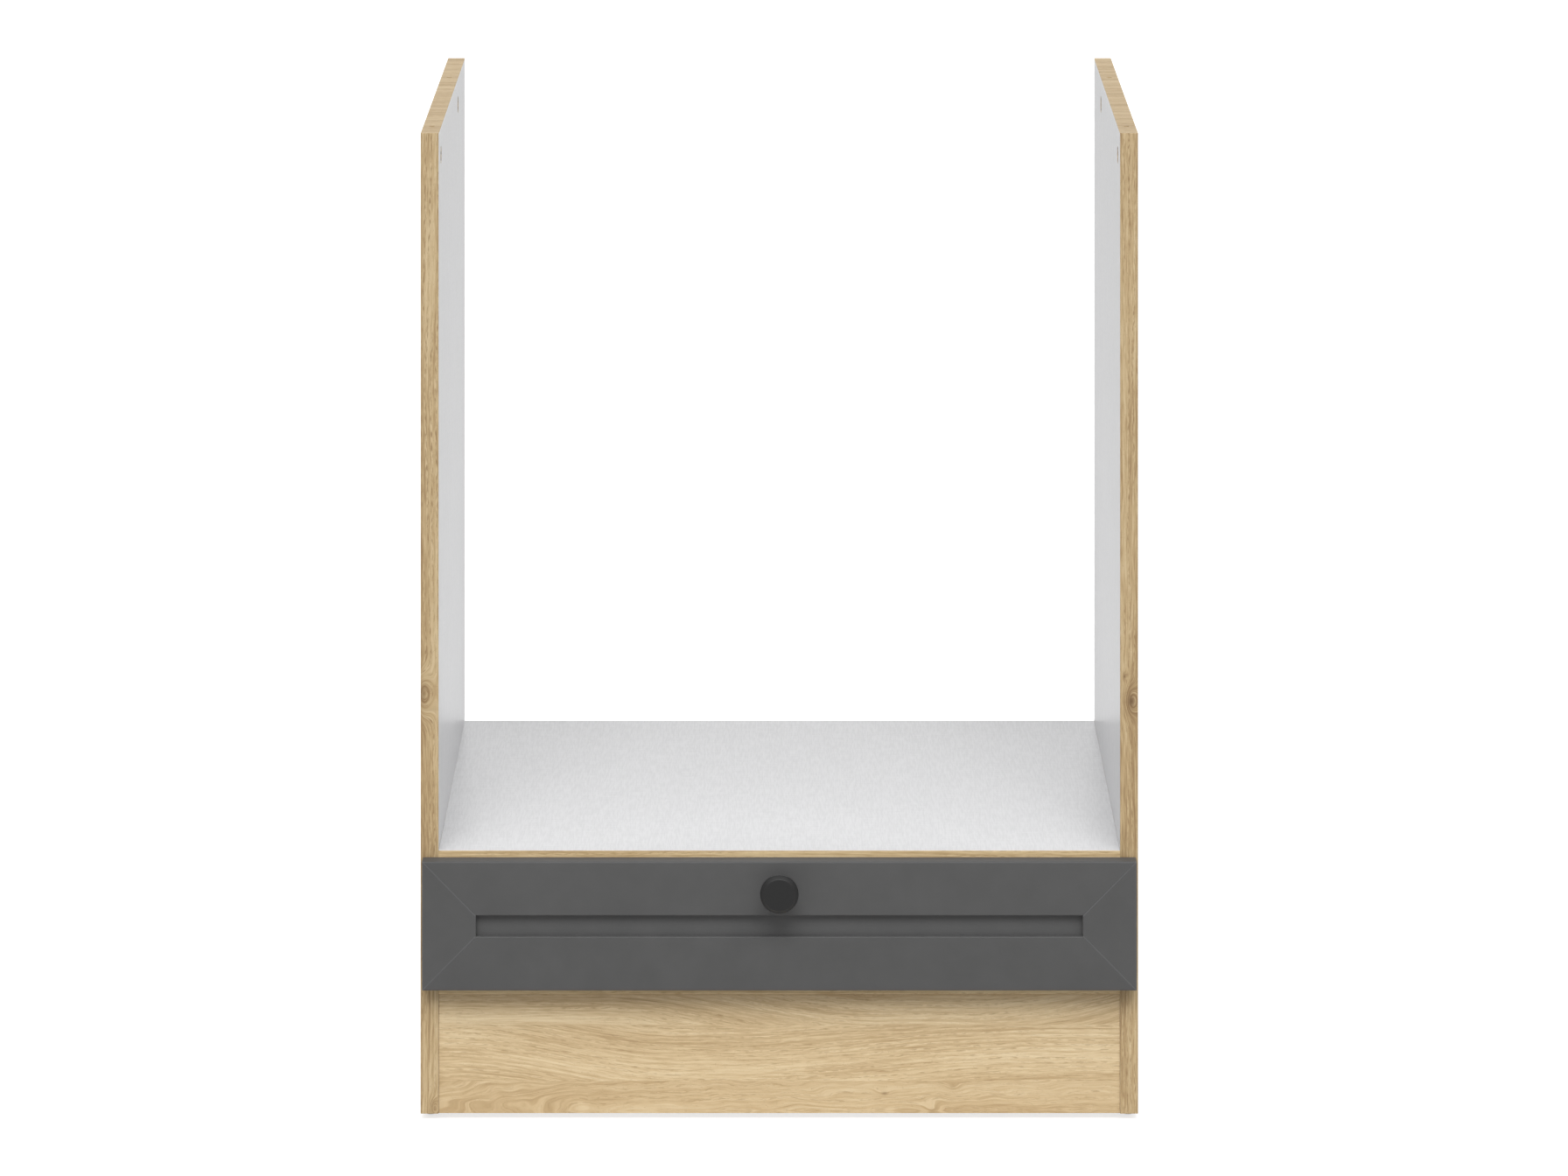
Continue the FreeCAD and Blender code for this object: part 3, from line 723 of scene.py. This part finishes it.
def make_knob(material):
    """Mushroom knob: waisted neck, rounded rim, bevel and a flat face."""
    low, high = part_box("knob")
    centre = (low + high) / 2
    length = high.y - low.y
    radius = (high.x - low.x) / 2
    neck = 6.2 * MM
    foot = 7.0 * MM
    rim = 6.0 * MM
    face_radius = 12.9 * MM
    soft = 0.9 * MM
    under = length - rim
    bevel = length - (radius - face_radius)
    steps = 10
    profile = [(0, 0)]
    for share in [i / steps for i in range(steps + 1)]:
        profile.append((under * share, neck + (foot - neck) * (2 * share - 1) ** 2))
    profile += arc((under + soft, radius - soft), soft, 180, 90, 6)
    profile += arc((bevel - 0.5 * soft, radius - soft), soft, 90, 45, 4)
    profile += arc((length - soft, face_radius - 0.4 * soft), soft, 45, 0, 4)
    profile += [(length, 0)]
    bm = bmesh.new()
    lathe(bm, profile, Vector((centre.x, high.y, centre.z)), -Y, 96)
    piece = add_mesh("turned_knob", bm, material, "drawer")
    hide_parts("knob")


def make_glides(material):
    """Domed plastic glides under the ends of the sides."""
    low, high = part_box("glides")
    radius = 7.0 * MM
    height = high.z - low.z
    dome = 0.7 * height
    profile = [(0, 0), (0, radius)]
    profile += arc((height - dome, radius - dome), dome, 90, 0, 8)
    profile += [(height, 0)]
    bm = bmesh.new()
    for x in (low.x + radius, high.x - radius):
        for y in (low.y + radius, high.y - radius):
            lathe(bm, profile, Vector((x, y, high.z)), -Z, 40)
    piece = add_mesh("domed_glides", bm, material, "carcass")
    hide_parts("glides")


def make_screws(material):
    """Cross-recessed screws in the runners, the drawer sides and the knob."""
    inset = 0.03 * MM
    bm = bmesh.new()
    for low, high in solid_boxes("runner_screws"):
        face, way = inward_head(low, high, inset)
        cross_screw(bm, face, way, (high.z - low.z) / 2, high.x - low.x - inset)
    piece = add_mesh("runner_cross_screws", bm, material, "carcass")
    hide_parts("runner_screws")

    bm = bmesh.new()
    for low, high in solid_boxes("drawer_front_screws"):
        middle = (low + high) / 2
        face = Vector((middle.x, high.y - inset, middle.z))
        cross_screw(bm, face, Y, (high.z - low.z) / 2, high.y - low.y - inset)
    piece = add_mesh("front_cross_screws", bm, material, "drawer")
    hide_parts("drawer_front_screws")

    low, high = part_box("knob_screw")
    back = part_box("front_top_rail")[1].y
    middle = (low + high) / 2
    shank_radius = 2.0 * MM
    shank = back - low.y
    bm = bmesh.new()
    face = Vector((middle.x, high.y, middle.z))
    cross_screw(bm, face, Y, (high.z - low.z) / 2, high.y - back)
    profile = [(0, 0), (0, shank_radius), (shank, shank_radius), (shank, 0)]
    lathe(bm, profile, Vector((middle.x, back, middle.z)), -Y, 24)
    piece = add_mesh("knob_cross_screw", bm, material, "drawer")
    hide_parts("knob_screw")


def make_floor_screws(material):
    """Screws up through the drawer sides into the floor board, and through their rear tabs."""
    low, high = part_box("drawer_side_left")
    height = 1.1 * MM
    radius = 3.2 * MM
    length = height + 0.2 * MM
    flange_x = high.x - 8 * MM
    bm = bmesh.new()
    for x in (flange_x, -flange_x):
        for share in (0.1, 0.5, 0.9):
            y = low.y + share * (high.y - low.y)
            cross_screw(bm, Vector((x, y, low.z - height)), -Z, radius, length)
        for z in (floor_high.z + 8 * MM, floor_high.z + 25 * MM):
            cross_screw(bm, Vector((x, high.y + height, z)), Y, radius, length)
    add_mesh("drawer_cross_screws", bm, material, "drawer")


def make_cams(material):
    """Worktop cams with a cross recess, seated just below the face of the board."""
    sunk = 0.6 * MM
    bm = bmesh.new()
    for low, high in solid_boxes("worktop_cams"):
        face, way = inward_head(low, high, sunk)
        cross_screw(bm, face, way, (high.y - low.y) / 2, high.x - low.x - sunk, 40)
    piece = add_mesh("cross_cams", bm, material, "carcass")
    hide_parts("worktop_cams")


def make_rollers(material):
    """Nylon rollers with rounded treads and a dished web round the hub."""
    bore = 2.55 * MM
    dish = 1.3 * MM
    draft = 0.4 * MM
    soft = 0.7 * MM
    for name in both("front_roller") + both("rear_roller"):
        low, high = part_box(name)
        middle = (low + high) / 2
        width = high.x - low.x
        radius = (high.z - low.z) / 2
        hub = 0.46 * radius
        rim = 0.78 * radius
        near = [(0, bore), (0, hub), (dish, hub + draft), (dish, rim - draft), (0, rim)]
        near += arc((soft, radius - soft), soft, 180, 90, 4)
        far = [(width - along, r) for along, r in reversed(near)]
        bm = bmesh.new()
        lathe(bm, near + far + near[:1], Vector((low.x, middle.y, middle.z)), X, 48)
        piece = add_mesh(name.replace("roller", "nylon_roller"), bm, material, name)
        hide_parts(name)


def make_rivets(material):
    """Roller pins riveted to the sheet, with a low domed head that keeps the roller on."""
    dome = 0.34 * MM
    for name, body, sheet_is_outside in (("front_roller_pins", "carcass", True),
                                         ("rear_roller_pins", "drawer", False)):
        bm = bmesh.new()
        for low, high in solid_boxes(name):
            middle = (low + high) / 2
            radius = (high.z - low.z) / 2
            head = 1.6 * radius
            length = high.x - low.x
            inwards = 1 if middle.x < 0 else -1
            way = inwards if sheet_is_outside else -inwards
            start = Vector((low.x if way > 0 else high.x, middle.y, middle.z))
            profile = [(0, 0), (0, radius), (length - dome, radius), (length - dome, head),
                       (length - 0.6 * dome, 0.92 * head), (length - 0.2 * dome, 0.6 * head),
                       (length, 0)]
            lathe(bm, profile, start, way * X, 32)
        piece = add_mesh(name.replace("pins", "rivets"), bm, material, body)
        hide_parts(name)


def make_back(material, nail_material):
    """Hardboard back with softened edges, nailed to the carcass boards with flat brads."""
    low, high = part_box("back_panel")
    head = 0.25 * MM
    head_radius = 2.1 * MM
    shank = 2 * MM
    shank_radius = 0.7 * MM
    size = high - low - head * Y
    middle = low + size / 2
    bm = bmesh.new()
    bmesh.ops.create_cube(bm, size=1.0)
    bmesh.ops.scale(bm, vec=size, verts=bm.verts)
    bmesh.ops.translate(bm, vec=middle, verts=bm.verts)
    bmesh.ops.bevel(bm, geom=bm.edges[:], offset=0.35 * MM, segments=2, affect="EDGES", profile=0.5)
    piece = add_mesh("hardboard_back", bm, material, "carcass")
    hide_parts("back_panel")

    bottom_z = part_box("bottom_panel")[1].z - board / 2
    top_z = shelf_low.z + board / 2
    edge_x = high.x - board / 2
    places = [(x, (low.z + high.z) / 2) for x in (-edge_x, edge_x)]
    places += [(share * edge_x, z) for z in (bottom_z, top_z) for share in (-1, -0.5, 0, 0.5, 1)]
    profile = [(-shank, 0), (-shank, shank_radius), (0, shank_radius), (0, head_radius),
               (0.5 * head, head_radius), (head, 0.8 * head_radius), (head, 0)]
    bm = bmesh.new()
    for x, z in places:
        lathe(bm, profile, Vector((x, high.y - head, z)), Y, 24)
    add_mesh("back_brads", bm, nail_material, "carcass")


def furnish():
    """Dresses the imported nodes, and puts finer forms in place of the small ones."""
    zinc_plate = zinc("zinc_plate", srgb(176, 178, 181), srgb(214, 215, 217), 900.0)
    cam_metal = zinc("cam_metal", srgb(112, 113, 116), srgb(158, 159, 161), 500.0)
    steel = coated_steel()
    white_boards = white_board()
    top_band = crosswise_band("crosswise_band", TOP_BAND_TINT)
    birch = soft_wood("birch", srgb(196, 164, 118), srgb(222, 196, 154))
    dress(side_board(), *both("side_panel"), edge=BOARD_EDGE)
    dress(white_boards, "oven_shelf", "bottom_panel", "drawer_floor", edge=BOARD_EDGE)
    dress(drawer_back_board(), "drawer_back", edge=BAND_EDGE)
    dress(upright_band(), *both("front_edge_band"), edge=BAND_EDGE)
    dress(top_band, *both("top_edge_band"), edge=BAND_EDGE)
    shelf_band = crosswise_band("board_edge_band", SHELF_BAND_PAINTED_LIGHT_TINT)
    dress(shelf_band, "shelf_edge_band", "bottom_edge_band", edge=BAND_EDGE)
    dress(plinth_oak(), "plinth_board", edge=BAND_EDGE)
    brown_board = hardboard()
    dress(brown_board, "back_panel")
    frame_foil = graphite("graphite_frame", 75, 81)
    dress(frame_foil, "front_top_rail", "front_bottom_rail", *both("front_stile"), edge=FRAME_EDGE)
    # The centre panel is the same foil as the frame, painted lighter to make up for the shade it gets
    # in the recess.
    dress(graphite("graphite_panel_painted_lighter", 82, 88), "front_centre_panel", edge=BOARD_EDGE)
    dress(steel, *both("runner_profile"), *both("drawer_side"), *both("drawer_track"))
    white_nylon = nylon()
    dress(white_nylon, *both("front_roller"), *both("rear_roller"))
    dress(zinc_plate, "runner_screws", "drawer_front_screws", "knob_screw",
          "front_roller_pins", "rear_roller_pins")
    dress(cam_metal, "worktop_cams")
    dress(birch, "board_tongues", "plinth_tongues", "front_mitre_tongues")
    pine = soft_wood("pine", srgb(206, 170, 116), srgb(232, 204, 154))
    dress(pine, "plinth_blocks", edge=ROUNDED_EDGE)
    dress(moulded("bumper_rubber", grey(222), 0.35), "front_bumpers", edge=ROUNDED_EDGE)
    glide_plastic = moulded("glide_plastic", srgb(150, 138, 122), 0.4)
    dress(glide_plastic, "glides")
    black = knob_black()
    dress(black, "knob")
    make_knob(black)
    make_glides(glide_plastic)
    make_screws(zinc_plate)
    make_floor_screws(zinc_plate)
    make_cams(cam_metal)
    make_rollers(white_nylon)
    make_rivets(zinc_plate)
    make_back(brown_board, zinc_plate)


# Surroundings -------------------------------------------------------------------------------

CAMERA_PLACE = Vector((0.0017, -6.894, 1.6462))
LENS = 185.25
SIDEWAYS = -0.00033
DOWNWARD = 0.18095
AMBIENT = 0.11
FLOOR_COLOUR = grey(205)
FLOOR_LIFT = 0.72
FLOOR_HALF = 30.0
FLOOR_GAP = 0.2 * MM

# Name, azimuth, elevation and spread in degrees, strength, and whether reflections show it.
LAMPS = (
    ("key", 0, 47, 34, 0.50, True),
    ("right", 38, 45, 50, 0.27, True),
    ("left", -38, 45, 50, 0.27, True),
    ("fill_right", 90, 0, 1, 0.45, False),
    ("fill_left", -90, 0, 1, 0.45, False),
    ("fill_rear", 180, 3, 4, 0.45, False),
)


def make_camera():
    """Camera at the viewing angle of the picture: it looks slightly down, but uprights stay
    upright, because its parent's frame is sheared."""
    data = bpy.data.cameras.new("camera")
    data.lens = LENS
    data.sensor_width = 36
    data.clip_end = 60
    camera = bpy.data.objects.new("camera", data)
    stand = bpy.data.objects.new("camera_stand", None)
    for item in (camera, stand):
        bpy.context.scene.collection.objects.link(item)
    towards = Vector((SIDEWAYS, -1, DOWNWARD)).normalized()
    columns = Matrix((X, Z, towards)).transposed().to_4x4()
    camera.parent = stand
    camera.matrix_parent_inverse = Matrix.Translation(CAMERA_PLACE) @ columns
    bpy.context.scene.camera = camera


def seen(tree):
    """1 for rays that look at the white surroundings, directly or by reflection."""
    path = tree.nodes.new("ShaderNodeLightPath")
    first = tree.nodes.new("ShaderNodeMath")
    second = tree.nodes.new("ShaderNodeMath")
    for node in (first, second):
        node.operation = "MAXIMUM"
    tree.links.new(path.outputs["Is Camera Ray"], first.inputs[0])
    tree.links.new(path.outputs["Is Glossy Ray"], first.inputs[1])
    tree.links.new(first.outputs[0], second.inputs[0])
    tree.links.new(path.outputs["Is Transmission Ray"], second.inputs[1])
    return second.outputs[0]


def make_world():
    """White to look at, with an even light of its own."""
    world = bpy.data.worlds.new("studio")
    world.use_nodes = True
    bpy.context.scene.world = world
    tree = world.node_tree
    background = tree.nodes["Background"]
    background.inputs["Color"].default_value = (1, 1, 1, 1)
    strength = tree.nodes.new("ShaderNodeMapRange")
    strength.inputs["To Min"].default_value = AMBIENT
    strength.inputs["To Max"].default_value = 1.0
    tree.links.new(seen(tree), strength.inputs["Value"])
    tree.links.new(strength.outputs[0], background.inputs["Strength"])


def make_floor():
    """Pale floor: white to the camera where nothing shades it."""
    material = bpy.data.materials.new("floor")
    material.use_nodes = True
    tree = material.node_tree
    surface = tree.nodes["Principled BSDF"]
    surface.inputs["Base Color"].default_value = FLOOR_COLOUR
    surface.inputs["Roughness"].default_value = 0.9
    surface.inputs["Specular IOR Level"].default_value = 0.0
    surface.inputs["Emission Color"].default_value = (1, 1, 1, 1)
    lift = tree.nodes.new("ShaderNodeMath")
    lift.operation = "MULTIPLY"
    lift.inputs[1].default_value = FLOOR_LIFT
    tree.links.new(seen(tree), lift.inputs[0])
    tree.links.new(lift.outputs[0], surface.inputs["Emission Strength"])
    bm = bmesh.new()
    bmesh.ops.create_grid(bm, x_segments=1, y_segments=1, size=FLOOR_HALF)
    mesh = bpy.data.meshes.new("floor")
    bm.to_mesh(mesh)
    bm.free()
    mesh.materials.append(material)
    floor = bpy.data.objects.new("floor", mesh)
    floor.location.z = cad_box[0].z - FLOOR_GAP
    bpy.context.scene.collection.objects.link(floor)


def add_light(name, azimuth, elevation, spread, strength, glossy):
    """Distant lamp. Azimuth 0 is in front of the unit and 90 at its right. A white surface that
    faces it squarely shows as strength."""
    data = bpy.data.lights.new(name, "SUN")
    data.angle = math.radians(spread)
    data.energy = math.pi * strength
    lamp = bpy.data.objects.new(name, data)
    turn = math.radians(azimuth)
    rise = math.radians(elevation)
    level = math.cos(rise)
    towards = Vector((math.sin(turn) * level, -math.cos(turn) * level, math.sin(rise)))
    lamp.rotation_mode = "QUATERNION"
    lamp.rotation_quaternion = towards.to_track_quat("Z", "Y")
    lamp.visible_glossy = glossy
    bpy.context.scene.collection.objects.link(lamp)


furnish()
make_camera()
make_world()
make_floor()
for lamp_values in LAMPS:
    add_light(*lamp_values)

scene = bpy.context.scene
scene.view_settings.view_transform = "Standard"
